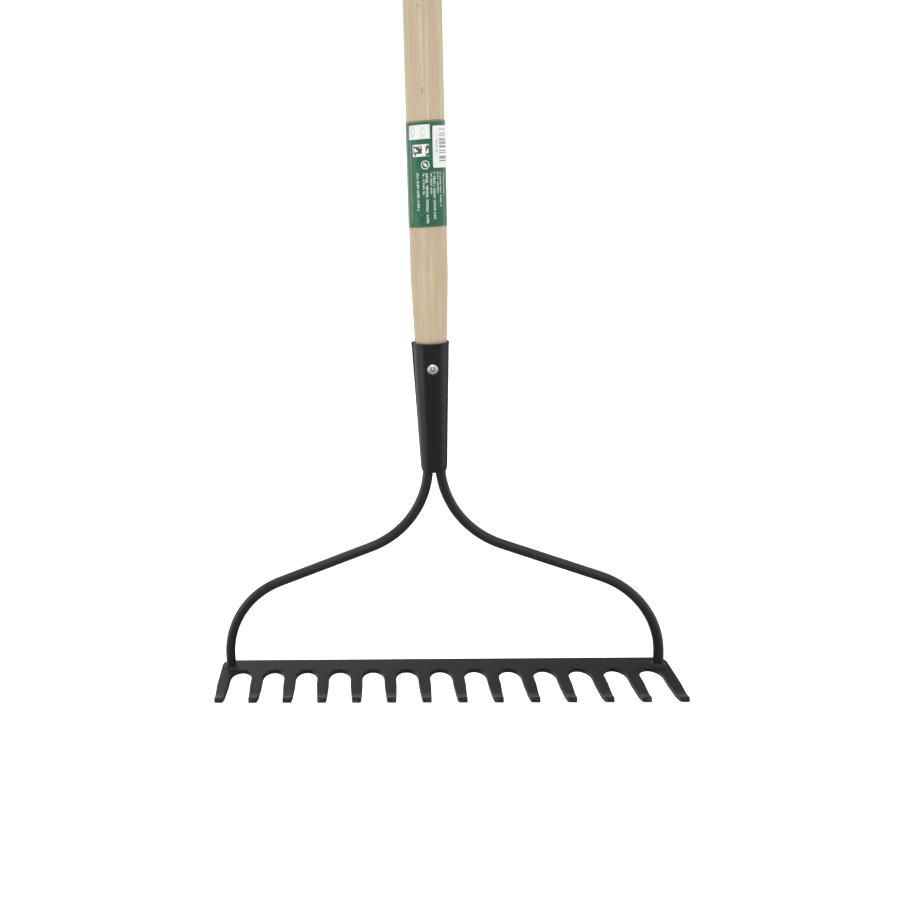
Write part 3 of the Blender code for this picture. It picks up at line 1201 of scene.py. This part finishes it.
@dataclass
class Bow:
    """The two bent rods between the socket and the ends of the head."""

    slope: float = math.radians(20.7)
    upper_bend: float = 68.0 * MM
    lower_bend: float = 66.0 * MM
    lower_bend_end: float = 13.3 * MM
    sides: int = 40
    bend_steps: int = 48
    piece_length: float = 2.5 * MM

    def _corners(self, node: str, side: int) -> tuple[list[Vector], float]:
        """The rod's centre line before its corners are rounded, and the rod's radius.

        Args:
            node: The rod's CAD node.
            side: -1 for the left rod, 1 for the right.

        Returns:
            The corners from the top down, and the radius.
        """
        low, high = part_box(node)
        radius = (high.y - low.y) / 2
        inner, outer = sorted((abs(low.x), abs(high.x)))
        top_x = inner + radius
        foot_x = outer - radius
        lower_corner = self.lower_bend_end + self.lower_bend * math.tan((math.pi / 2 - self.slope) / 2)
        upper_corner = lower_corner + (foot_x - top_x) * math.tan(self.slope)
        line = [(top_x, high.z), (top_x, upper_corner), (foot_x, lower_corner), (foot_x, low.z)]
        return [Vector((side * x, 0.0, z)) for x, z in line], radius

    def build(self, coat: PowderCoat) -> None:
        """Makes both rods.

        Args:
            coat: Their powder coat.
        """
        tree = RodTree("bent_rod")
        material = coat.material()
        for node, side in (("left_rod", -1), ("right_rod", 1)):
            corners, radius = self._corners(node, side)
            route = bpy.data.meshes.new(node + "_route")
            route.from_pydata(corners, [(i, i + 1) for i in range(3)], [])
            bends = route.attributes.new("bend_radius", "FLOAT", "POINT")
            for item, value in zip(bends.data, (0.0, self.upper_bend, self.lower_bend, 0.0)):
                item.value = value
            values = {
                "Section Radius": radius,
                "Section Sides": self.sides,
                "Bend Steps": self.bend_steps,
                "Piece Length": self.piece_length,
                "Material": material,
            }
            rod = tree.apply(new_object(node + "_route", route), values, "bent_" + node)
            reworked(rod.data, lambda work: None)
            smoothed(rod.data)
            finish_piece(rod, material, node)


@dataclass
class Welds:
    """The fillet welds at the rods' feet and the weld that closes the socket."""

    steps: int = 120
    ripples: int = 17
    ripple_depth: float = 0.13 * MM
    foot_bore: float = 0.55
    foot_base: float = -0.25 * MM
    plug_steps: int = 64
    plug_rim: float = 2.4 * MM
    plug_crown: float = 1.2 * MM
    plug_rows: int = 14

    def _foot(self, node: str, name: str, coat: bpy.types.Material) -> None:
        """A rippled fillet ring round one rod's foot.

        Args:
            node: The weld's CAD node.
            name: The piece's name.
            coat: Its material.
        """
        low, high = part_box(node)
        centre = (low + high) / 2
        outer = (high.x - low.x) / 2
        tall = high.z - low.z
        inner = outer * self.foot_bore
        base = self.foot_base
        profile = [(inner, tall)]
        profile += [
            (inner + (outer - inner) * share, base + (tall - base) * (1.0 - share) ** 1.5)
            for share in (0.30, 0.34, 0.42, 0.52, 0.64, 0.78, 0.90, 1.0)
        ]
        profile += [(outer, base), (inner, base)]

        def ripple(angle: float, radius: float, z: float) -> Point:
            """Gives the bead its ripples.

            Args:
                angle: The point's angle.
                radius: Its radius.
                z: Its height.

            Returns:
                Its new radius and height.
            """
            share = (radius - inner) / (outer - inner)
            wave = abs(math.sin(angle * self.ripples / 2)) ** 0.6
            drift = noise.noise(Vector((math.cos(angle), math.sin(angle), centre.x * 40.0))) * 0.35 * MM
            return radius + share * (wave * self.ripple_depth * 2.0 - self.ripple_depth + drift), z

        mesh = lathe(name, profile, self.steps, ripple)
        mesh.transform(Matrix.Translation((centre.x, centre.y, low.z)))
        piece = new_object(name, smoothed(mesh, math.radians(60)))
        finish_piece(piece, coat, node)

    def _socket_plug(self, coat: bpy.types.Material) -> None:
        """A low lumpy weld under the socket, which both rods pass through.

        Args:
            coat: Its material.
        """
        low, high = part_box("socket_weld")
        outer = (high.y - low.y) / 2
        rim = low.z + self.plug_rim
        profile = [(0.0, high.z), (outer * 0.98, high.z), (outer, rim)]
        flattening = self.plug_crown / outer
        profile += arc((0.0, rim), outer, 0.0, -math.pi / 2, self.plug_rows, flattening)[1:-1]
        profile.append((0.0, rim - self.plug_crown))

        def lumps(angle: float, radius: float, z: float) -> Point:
            """Makes the bead's underside uneven."""
            where = Vector((radius * math.cos(angle), radius * math.sin(angle), 0.0)) * 420.0
            return radius, z + noise.noise(where) * 0.45 * MM * ease(high.z - z, 2.0 * MM, 5.0 * MM)

        mesh = lathe("socket_weld_bead", profile, self.plug_steps, lumps)
        piece = new_object("socket_weld_bead", smoothed(mesh, math.radians(60)))
        finish_piece(piece, coat, "socket_weld")

    def build(self, coat: PowderCoat) -> None:
        """Makes the three welds.

        Args:
            coat: Their powder coat.
        """
        material = coat.material()
        for side in ("left", "right"):
            self._foot(side + "_foot_weld", side + "_foot_bead", material)
        self._socket_plug(material)


# Socket ------------------------------------------------------------------------------------------


@dataclass
class Socket:
    """The sheet rolled into a cone, its free edge standing off towards the mouth."""

    bottom_radius: float = 9.5 * MM
    top_radius: float = 12.65 * MM
    wall: float = 1.0 * MM
    seam: float = math.radians(176)
    seam_opening: float = math.radians(6)
    seam_lift: float = 1.25 * MM
    lift_span: float = math.radians(52)
    nip: float = 0.5 * MM
    nip_height: float = 4.0 * MM
    flare: float = 0.15 * MM
    flare_height: float = 3.5 * MM
    dents: float = 0.09 * MM
    edge: float = 0.28 * MM
    levels: int = 72
    steps: int = 132
    bottom: float = field(init=False)
    top: float = field(init=False)

    def __post_init__(self) -> None:
        """Takes the socket's height from the frame."""
        low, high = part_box("socket")
        self.bottom = low.z
        self.top = high.z

    def radius(self, z: float) -> float:
        """The cone's outer radius at a height, without the lift of its free edge.

        Args:
            z: The height.

        Returns:
            The radius.
        """
        share = (z - self.bottom) / (self.top - self.bottom)
        straight = self.bottom_radius + (self.top_radius - self.bottom_radius) * share
        nipped = straight - self.nip * (1.0 - ease(z, self.bottom, self.bottom + self.nip_height))
        return nipped + self.flare * ease(z, self.top - self.flare_height, self.top)

    def _creases(self, z: float) -> float:
        """Shallow rolling marks just below the mouth.

        Args:
            z: The height.

        Returns:
            How deep the marks are there.
        """
        depth = 0.0
        for below, width, mark in ((4.2 * MM, 0.7 * MM, 0.07 * MM), (7.6 * MM, 1.0 * MM, 0.05 * MM)):
            offset = (z - self.top + below) / width
            depth += mark * math.exp(-offset * offset)
        return depth

    def _place(self, up: float, along: float) -> tuple[float, float, float]:
        """Where a point of the rolled sheet lies.

        Args:
            up: Share of the way from the bottom to the mouth.
            along: Share of the way round from the inner edge.

        Returns:
            An angle, a radius and a height.
        """
        sweep = math.tau - self.seam_opening
        angle = self.seam + self.seam_opening / 2 + sweep * along
        z = self.bottom + (self.top - self.bottom) * up
        near_edge = max(0.0, 1.0 - sweep * (1.0 - along) / self.lift_span)
        around = Vector((math.cos(angle) * 0.8, math.sin(angle) * 0.8, z * 18.0))
        radius = self.radius(z) - self._creases(z) + noise.noise(around) * self.dents
        return angle, radius + self.seam_lift * up * near_edge**2, z

    def build(self, coat: PowderCoat) -> None:
        """Makes the socket.

        Args:
            coat: Its powder coat.
        """
        piece = rolled_sheet("socket_sheet", self.levels, self.steps, self._place)
        thicken(piece, self.wall, -1.0)
        piece.modifiers["wall"].use_even_offset = True
        smoothed(piece.data)
        round_edges(piece, self.edge, 3, math.radians(50))
        piece = settle(piece, "rolled_socket")
        finish_piece(piece, coat.material(), "socket")


# Handle and paper --------------------------------------------------------------------------------


@dataclass
class Handle:
    """The turned ash handle, tapered into the socket and domed at its far end."""

    radius: float = 13.0 * MM
    mouth_radius: float = 11.3 * MM
    bottom_radius: float = 9.55 * MM
    taper_top: float = 300.0 * MM
    shoulder: float = 6.0 * MM
    shoulder_curve: float = 1.12
    end_round: float = 8.0 * MM
    foot_chamfer: float = 0.6 * MM
    steps: int = 112
    straight_rows: int = 90
    taper_rows: int = 16

    def build(self, wood: AshWood, mouth: float) -> None:
        """Makes the handle.

        Args:
            wood: Its finish.
            mouth: The height of the socket's mouth.
        """
        low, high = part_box("handle")
        inner = self.radius - self.end_round
        profile: list[Point] = [(0.0, high.z), (inner * 0.5, high.z - 0.05 * MM)]
        profile += arc((inner, high.z - self.end_round), self.end_round, math.pi / 2, 0.0, 14)
        first = high.z - self.end_round - 10 * MM
        last = self.taper_top + self.shoulder
        for row in range(self.straight_rows + 1):
            profile.append((self.radius, first + (last - first) * row / self.straight_rows))
        fall = self.radius - self.mouth_radius
        for row in range(1, self.taper_rows + 1):
            share = row / self.taper_rows
            profile.append((self.radius - fall * share**self.shoulder_curve, last - (last - mouth) * share))
        profile.append((self.bottom_radius, low.z + self.foot_chamfer))
        profile += [(self.bottom_radius - self.foot_chamfer, low.z), (0.0, low.z)]

        def hand_turned(angle: float, radius: float, z: float) -> Point:
            """Takes off a little at random, as sanding does."""
            place = Vector((math.cos(angle) * 0.7, math.sin(angle) * 0.7, z * 9.0))
            return radius - 0.05 * MM * (0.5 + 0.5 * noise.noise(place)), z

        mesh = smoothed(lathe("ash_handle", profile, self.steps, hand_turned))
        finish_piece(new_object("ash_handle", mesh), wood.material(), "handle")


@dataclass
class PaperWrap:
    """The label round the handle, with its lapped seam, and the sticker on it."""

    handle_radius: float = 13.0 * MM
    clearance: float = 0.08 * MM
    paper: float = 0.14 * MM
    lap: float = math.radians(12)
    seam: float = math.radians(-56.4)
    sticker_left: float = math.radians(16)
    sticker_right: float = math.radians(92)
    sticker_paper: float = 0.10 * MM

    sticker_gap: float = 0.14 * MM
    sticker_corner: float = 0.9 * MM
    sticker_lift: float = 0.25 * MM
    lifted_corner: float = 5.0 * MM
    lap_rise: float = math.radians(7)
    lap_gap: float = 0.04 * MM
    pucker: float = 0.10 * MM
    front: float = -math.pi / 2
    label_faces: tuple[int, int] = (44, 200)
    sticker_faces: tuple[int, int] = (60, 60)

    def _label(self) -> None:
        """The sleeve, its outer end lapped over its inner one."""
        low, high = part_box("label_sleeve")
        end = self.front + self.seam
        start = end - self.lap - math.tau
        inner = self.handle_radius + self.clearance

        def place(up: float, along: float) -> tuple[float, float, float]:
            """Where a point of the sleeve lies.

            Args:
                up: Share of the way up.
                along: Share of the way round.

            Returns:
                An angle, a radius and a height.
            """
            z = low.z + (high.z - low.z) * up
            angle = start + (end - start) * along
            over = ease(angle, end - self.lap - self.lap_rise, end - self.lap)
            around = Vector((math.cos(angle) * 1.6, math.sin(angle) * 1.6, z * 60.0))
            pucker = (0.5 + 0.5 * noise.noise(around)) * self.pucker
            return angle, inner + over * (self.paper + self.lap_gap) + pucker, z

        piece = rolled_sheet("label_sheet", *self.label_faces, place)
        thicken(piece, self.paper, 1.0)
        piece = settle(piece, "paper_label")
        smoothed(piece.data)
        print_finish = LabelPrint(inner + self.paper, high.z, high.z - low.z, self.seam)
        finish_piece(piece, print_finish.material(), "label_sleeve")

    def _sticker(self) -> None:
        """A curved patch of paper with rounded corners and one corner that lifts a little."""
        low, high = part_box("barcode_sticker")
        base = self.handle_radius + self.clearance + self.paper + self.sticker_gap
        corner = self.sticker_corner
        width = (self.sticker_right - self.sticker_left) * base
        height = high.z - low.z

        def place(up: float, along: float) -> tuple[float, float, float]:
            """Where a point of the sticker lies.

            Args:
                up: Share of the way up.
                along: Share of the way across.

            Returns:
                An angle, a radius and a height.
            """
            v = height * up
            from_end = min(v, height - v, corner)
            cut = corner - math.sqrt(max(0.0, corner**2 - (corner - from_end) ** 2))
            u = cut + (width - 2 * cut) * along
            reach = self.lifted_corner - u - (height - v)
            lift = ease(reach, 0.0, self.lifted_corner) * self.sticker_lift
            return self.front + self.sticker_left + u / base, base + lift, low.z + v

        piece = rolled_sheet("sticker_sheet", *self.sticker_faces, place)
        thicken(piece, self.sticker_paper, 1.0)
        piece = settle(piece, "barred_sticker")
        smoothed(piece.data)
        print_finish = StickerPrint(base, high.z, height, self.sticker_left, self.sticker_right)
        finish_piece(piece, print_finish.material(), "barcode_sticker")

    def build(self) -> None:
        """Makes the label and its sticker."""
        self._label()
        self._sticker()


# Rivet -------------------------------------------------------------------------------------------


@dataclass
class BlindRivet:
    """The rivet through the front of the socket: a ringed flange, a hollow shank and its broken stem."""

    flange: float = 3.7 * MM
    shank: float = 2.4 * MM
    bore: float = 1.5 * MM
    length: float = 12.0 * MM
    stem: float = 1.35 * MM
    stem_head: float = 2.3 * MM
    steps: int = 72

    def _frame(self, socket: Socket) -> Matrix:
        """Where the flange's back sits, turned so that its axis is square to the cone.

        Args:
            socket: The socket that the rivet holds.

        Returns:
            The rivet's place and turn.
        """
        body_low, body_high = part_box("rivet_body")
        slope = math.atan2(socket.top_radius - socket.bottom_radius, socket.top - socket.bottom)
        z = (body_low.z + body_high.z) / 2
        z += (self.length / 2 - 0.75 * MM) * math.sin(slope)
        place = Matrix.Translation((0.0, -socket.radius(z) - 0.02 * MM, z))
        return place @ Matrix.Rotation(math.pi / 2 + slope, 4, "X")

    def build(self, zinc: BareMetal, steel: BareMetal, socket: Socket) -> None:
        """Makes the rivet and its stem.

        Args:
            zinc: The rivet's finish.
            steel: The stem's finish.
            socket: The socket that it holds.
        """
        place = self._frame(socket)
        rim = self.flange
        body_profile = [
            (self.bore, 0.75 * MM),
            (self.bore + 0.12 * MM, 1.30 * MM),
            (self.bore + 0.35 * MM, 1.48 * MM),
            (self.bore + 0.75 * MM, 1.50 * MM),
            (self.bore + 1.05 * MM, 1.34 * MM),
            (self.bore + 1.20 * MM, 1.14 * MM),
            (self.bore + 1.40 * MM, 1.08 * MM),
            (rim - 0.75 * MM, 0.98 * MM),
            (rim - 0.40 * MM, 0.82 * MM),
            (rim - 0.15 * MM, 0.56 * MM),
            (rim, 0.24 * MM),
            (rim, 0.04 * MM),
            (rim - 0.1 * MM, 0.0),
            (self.shank, 0.0),
            (self.shank, -self.length),
            (self.bore, -self.length),
        ]
        body = lathe("blind_rivet", body_profile, self.steps)
        stem_profile = [
            (0.0, 1.35 * MM),
            (self.stem * 0.35, 1.32 * MM),
            (self.stem * 0.62, 1.18 * MM),
            (self.stem * 0.82, 1.08 * MM),
            (self.stem, 0.85 * MM),
            (self.stem, -self.length - 0.1 * MM),
            (self.stem_head, -self.length - 0.1 * MM),
            (self.stem_head, -self.length - 0.9 * MM),
            (self.stem_head * 0.75, -self.length - 1.8 * MM),
            (0.0, -self.length - 2.2 * MM),
        ]

        def snapped(angle: float, radius: float, z: float) -> Point:
            """Tears the stem's broken end.

            Args:
                angle: The point's angle.
                radius: Its radius.
                z: Its height.

            Returns:
                Its new radius and height.
            """
            if z < 0.0:
                return radius, z
            rough = noise.noise(Vector((math.cos(angle) * 2.0, math.sin(angle) * 2.0, radius * 3000.0)))
            torn = max(0.0, -math.sin(angle)) * ease(radius, 0.3 * self.stem, 0.75 * self.stem)
            return radius, z + rough * 0.08 * MM - torn * 0.8 * MM

        stem = lathe("rivet_stem", stem_profile, self.steps, snapped)
        for mesh, finish, slot, node in (
            (body, zinc, Slot.RIVET, "rivet_body"),
            (stem, steel, Slot.MANDREL, "rivet_mandrel"),
        ):
            mesh.transform(place)
            piece = new_object(mesh.name, smoothed(mesh))
            finish_piece(piece, finish.material(), node)


# Studio ------------------------------------------------------------------------------------------


@dataclass(frozen=True)
class Lamp:
    """One soft box."""

    name: str
    place: tuple[float, float, float]
    target: tuple[float, float, float]
    width: float
    height: float
    power: float

    def build(self) -> None:
        """Adds the light."""
        light = bpy.data.lights.new(self.name, "AREA")
        light.shape = "RECTANGLE"
        light.size = self.width
        light.size_y = self.height
        light.energy = self.power
        lamp = new_object(self.name, light)
        lamp.location = self.place
        lamp.visible_camera = False
        aim = Vector(self.target) - Vector(self.place)
        lamp.rotation_euler = aim.to_track_quat("-Z", "Y").to_euler()


@dataclass
class Studio:
    """Pale floor, soft lights and the camera."""

    camera_place: tuple[float, float, float] = (-47.2 * MM, -690.0 * MM, 370.3 * MM)
    yaw: float = math.radians(-7.08)
    pitch: float = math.radians(12.03)
    roll: float = math.radians(-3.81)
    lens: float = 38.39
    shift: Point = (0.2222, -0.06)
    floor_drop: float = 30.0 * MM
    floor_radius: float = 1.25
    floor_glow: float = 0.5
    surround: float = 0.16
    backdrop: float = 1.15
    mirrored_level: float = 0.27
    mirrored_lean: float = 1.1
    mirrored_sides: float = 0.9
    lamps: tuple[Lamp, ...] = (
        Lamp("key", (-0.5, -2.4, 1.9), (0.0, 0.0, 0.35), 1.5, 2.2, 21.0),
        Lamp("fill", (1.6, -1.9, 1.3), (0.0, 0.0, 0.5), 1.2, 2.2, 12.0),
        Lamp("left_strip", (-1.5, -0.5, 0.4), (0.0, 0.0, 0.2), 0.22, 1.3, 4.5),
        Lamp("right_strip", (1.9, 1.1, 1.1), (0.0, 0.0, 0.6), 0.5, 2.4, 14.0),
        Lamp("low_back", (0.0, 2.6, 0.25), (0.0, 0.0, 0.1), 4.0, 0.6, 7.5),
        Lamp("left_back", (-1.2, 2.0, 1.1), (-0.1, 0.0, 0.1), 1.0, 0.9, 4.0),
        Lamp("overhead", (0.0, 0.2, 3.4), (0.0, 0.0, 0.0), 3.0, 3.0, 150.0),
    )

    def _camera(self) -> None:
        """Sets the camera by its place and its three turns."""
        ahead = Vector(
            (
                math.sin(self.yaw) * math.cos(self.pitch),
                math.cos(self.yaw) * math.cos(self.pitch),
                -math.sin(self.pitch),
            )
        )
        level = Vector((math.cos(self.yaw), -math.sin(self.yaw), 0.0))
        above = level.cross(ahead)
        right = math.cos(self.roll) * level + math.sin(self.roll) * above
        up = -math.sin(self.roll) * level + math.cos(self.roll) * above
        data = bpy.data.cameras.new("camera")
        data.lens = self.lens
        data.shift_x, data.shift_y = self.shift
        data.clip_start = 0.01
        data.clip_end = 200.0
        camera = new_object("camera", data)
        turn = Matrix((right, up, -ahead)).transposed().to_4x4()
        camera.matrix_world = Matrix.Translation(self.camera_place) @ turn
        bpy.context.scene.camera = camera

    def _floor(self) -> None:
        """Adds a round pale floor just under the head."""

        def fill(work: bmesh.types.BMesh) -> None:
            """Adds the disc."""
            rim = arc((0.0, 0.0), self.floor_radius, 0.0, math.tau, 96)[:-1]
            work.faces.new([work.verts.new((x, y, -self.floor_drop)) for x, y in rim])

        floor = new_object("floor", mesh_from("floor", fill))
        bench = ShaderBench("pale_floor")
        tone = bench.cloud(0.8, 3.0, 1.1)
        colour = bench.blend(tone, (0.94, 0.94, 0.94), (0.96, 0.96, 0.96))
        paint = bench.surface(
            Base_Color=colour,
            Roughness=0.9,
            Specular_IOR_Level=0.0,
            Emission_Color=(1.0, 1.0, 1.0, 1.0),
            Emission_Strength=self.floor_glow,
        )
        floor.data.materials.append(paint)
        floor.visible_glossy = False

    def _world(self) -> None:
        """A white surround that fills the shadows, with a brighter left and bright sides in reflections."""
        world = bpy.data.worlds.new("white_surround")
        world.use_nodes = True
        bench = Bench(world.node_tree)
        rays = bench.node("ShaderNodeLightPath", {}, {})
        seen = Value(bench, rays.outputs["Is Camera Ray"])
        mirrored = Value(bench, rays.outputs["Is Glossy Ray"])
        toward = bench.make("ShaderNodeTexCoord", {}, {}, "Generated")
        across = bench.make("ShaderNodeSeparateXYZ", {}, {"Vector": toward}, "X")
        behind = bench.make("ShaderNodeSeparateXYZ", {}, {"Vector": toward}, "Y").step(0.1, 0.7)
        sides = abs(across).step(0.78, 0.96)
        lean = (self.mirrored_level - across * behind * self.mirrored_lean).at_least(-0.10)
        glossy = lean + sides * self.mirrored_sides
        strength = self.surround + seen * self.backdrop + mirrored * glossy
        white = (1.0, 1.0, 1.0, 1.0)
        glow = bench.make("ShaderNodeBackground", {}, {"Color": white, "Strength": strength})
        bench.node("ShaderNodeOutputWorld", {}, {"Surface": glow})
        bpy.context.scene.world = world

    def build(self) -> None:
        """Makes the studio."""
        view = bpy.context.scene.view_settings
        view.view_transform = "Standard"
        view.look = "None"
        self._world()
        self._floor()
        for lamp in self.lamps:
            lamp.build()
        self._camera()


# The rake ----------------------------------------------------------------------------------------


def main() -> None:
    """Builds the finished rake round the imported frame, in order."""
    logging.basicConfig(level=logging.INFO, format="%(name)s: %(message)s")
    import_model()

    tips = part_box("tine_head")[0].y
    TineHead().build(PowderCoat("head_powder_coat", rubbed_beyond=tips))
    Bow().build(PowderCoat("rod_powder_coat", roughness=0.36, specular=0.42))
    Welds().build(PowderCoat("weld_powder_coat", roughness=0.46, peel_depth=0.16 * MM))
    socket = Socket()
    socket.build(PowderCoat("socket_powder_coat", roughness=0.33, peel_depth=0.07 * MM, specular=0.27))
    Handle().build(AshWood(), socket.top)
    PaperWrap().build()
    zinc = BareMetal("bright_zinc", (0.58, 0.58, 0.59), (0.42, 0.42, 0.42), 0.46)
    steel = BareMetal("snapped_steel", (0.80, 0.80, 0.81), (0.34, 0.33, 0.33), 0.38)
    BlindRivet().build(zinc, steel, socket)
    Studio().build()


if __name__ == "__main__":
    main()
